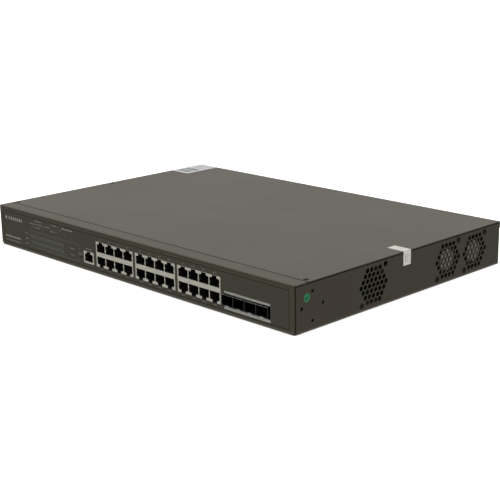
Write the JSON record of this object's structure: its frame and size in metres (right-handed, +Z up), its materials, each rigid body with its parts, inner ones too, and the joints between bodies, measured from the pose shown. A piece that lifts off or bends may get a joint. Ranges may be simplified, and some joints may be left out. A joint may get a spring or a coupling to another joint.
{
  "type": "rackmount network switch",
  "caption": "Flat folded-steel case one rack unit high with rows of network sockets, transceiver bays, status lamps, side vents with fans and a rear mains inlet.",
  "frame": {"origin": "middle of the underside of the case", "axes": "+X to the right seen from the front, along the long side; +Y from the front face to the rear; +Z up"},
  "size_m": [0.4401, 0.295, 0.0437],
  "materials": {
    "paint": "fine textured powder coat, dark taupe grey",
    "bracket_zinc": "zinc plated",
    "front_film": "printed polycarbonate film, satin",
    "nickel_shield": "nickel plated sheet, satin",
    "black_housing": "moulded black thermoplastic",
    "gold_contact": "gold plated",
    "cage_steel": "tin plated sheet",
    "clear_plastic": "clear moulded acrylic",
    "green_laminate": "solder mask over glass laminate",
    "lamp_resin": "clear lamp resin",
    "button_red": "moulded",
    "chip_epoxy": "moulded epoxy",
    "heat_sink_aluminium": "extruded, anodised clear",
    "capacitor_sleeve": "shrink sleeve",
    "header_nylon": "natural nylon",
    "tan_laminate": "phenolic laminate",
    "insulator_sheet": "insulating film",
    "transformer_tape": "tape over ferrite",
    "copper_wire": "enamelled copper",
    "lead_sleeve": "insulated leads",
    "fan_plastic": "moulded black thermoplastic",
    "hub_label": "paper label",
    "screw_black": "black oxide",
    "earth_brass": "brass",
    "seal_paper": "paper seal",
    "green_sticker": "coated paper",
    "label_paper": "coated paper"
  },
  "bodies": {
    "case": {"base_pan": "paint", "side_wall_left": "paint", "side_wall_right": "paint", "front_wall": "paint", "rear_wall": "paint", "top_cover": "paint", "cover_brackets": "bracket_zinc", "board_standoffs": "bracket_zinc", "board_screws": "bracket_zinc", "front_film": "front_film", "rj45_shield_a": "nickel_shield", "rj45_shield_b": "nickel_shield", "rj45_shield_c": "nickel_shield", "console_shield": "nickel_shield", "rj45_housing_a": "black_housing", "rj45_housing_b": "black_housing", "rj45_housing_c": "black_housing", "console_housing": "black_housing", "sfp_connectors": "black_housing", "mains_inlet": "black_housing", "reset_switch": "black_housing", "rj45_contacts": "gold_contact", "sfp_cage": "cage_steel", "sfp_gasket": "cage_steel", "inlet_pins": "cage_steel", "light_pipes": "clear_plastic", "main_board": "green_laminate", "lamp_board": "green_laminate", "lamps": "lamp_resin", "switch_chip": "chip_epoxy", "port_chips": "chip_epoxy", "memory_chips": "chip_epoxy", "board_inductors": "chip_epoxy", "switch_heat_sink": "heat_sink_aluminium", "port_heat_sinks": "heat_sink_aluminium", "psu_heat_sinks": "heat_sink_aluminium", "board_capacitors": "capacitor_sleeve", "psu_capacitors": "capacitor_sleeve", "board_headers": "header_nylon", "psu_board": "tan_laminate", "psu_insulator": "insulator_sheet", "psu_transformer": "transformer_tape", "psu_choke": "copper_wire", "fan_coils": "copper_wire", "inlet_leads": "lead_sleeve", "dc_harness": "lead_sleeve", "fan_leads": "lead_sleeve", "fan_frame_a": "fan_plastic", "fan_frame_b": "fan_plastic", "fan_labels": "hub_label", "fan_screws": "screw_black", "case_screws": "screw_black", "earth_screw": "earth_brass", "cover_seal": "seal_paper", "inspection_sticker": "green_sticker", "cover_label": "label_paper"},
    "fan_a": {"fan_rotor_a": "fan_plastic"},
    "fan_b": {"fan_rotor_b": "fan_plastic"},
    "reset_button": {"reset_button": "button_red"}
  },
  "joints": [
    {"name": "fan_a_spin", "type": "hinge", "parent": "case", "child": "fan_a", "pos_m": [0.209, 0.0611, 0.0217], "axis": [1, 0, 0], "continuous": true},
    {"name": "fan_b_spin", "type": "hinge", "parent": "case", "child": "fan_b", "pos_m": [0.209, 0.1034, 0.0217], "axis": [1, 0, 0], "continuous": true},
    {"name": "reset_press", "type": "slide", "parent": "case", "child": "reset_button", "axis": [0, 1, 0], "range_m": [0, 0.0005], "stiffness_N_per_m": 300, "springref_m": -0.0005}
  ]
}
